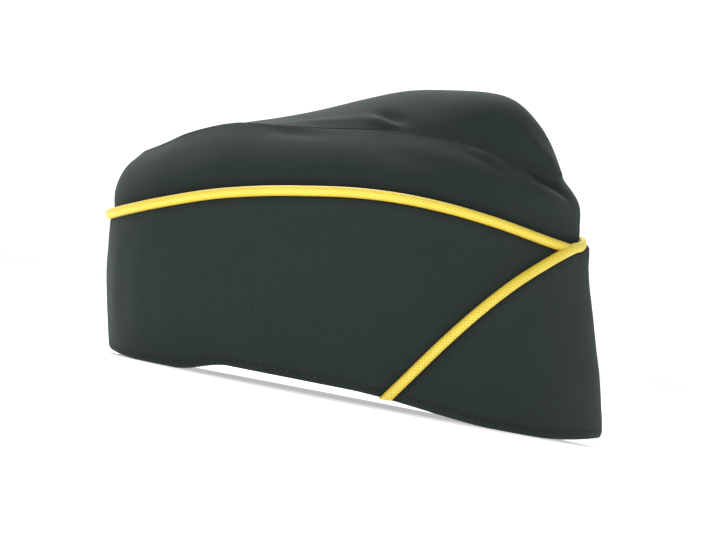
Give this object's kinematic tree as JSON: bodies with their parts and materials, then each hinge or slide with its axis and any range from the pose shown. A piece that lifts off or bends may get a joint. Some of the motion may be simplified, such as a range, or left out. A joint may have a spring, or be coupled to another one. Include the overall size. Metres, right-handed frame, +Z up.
{
  "type": "garrison cap",
  "caption": "Soft folding uniform cap with a boat-shaped crown, a leaf-shaped domed top, and a deep cuff that wraps over at the front, its edges piped in yellow cord",
  "frame": {"origin": "centre of the cap's footprint, on the surface that its rim stands on", "axes": "+X is the cap's front, +Y the wearer's left, +Z up"},
  "size_m": [0.2394, 0.1511, 0.1478],
  "materials": {
    "cap_cloth": "matte wool gabardine, dark green-grey",
    "piping_cord": "golden yellow round cord"
  },
  "bodies": {
    "root": {"crown_right": "cap_cloth", "crown_left": "cap_cloth", "crown_top": "cap_cloth", "curtain_right": "cap_cloth", "curtain_left": "cap_cloth", "cord_right": "piping_cord", "cord_left": "piping_cord"}
  },
  "joints": []
}
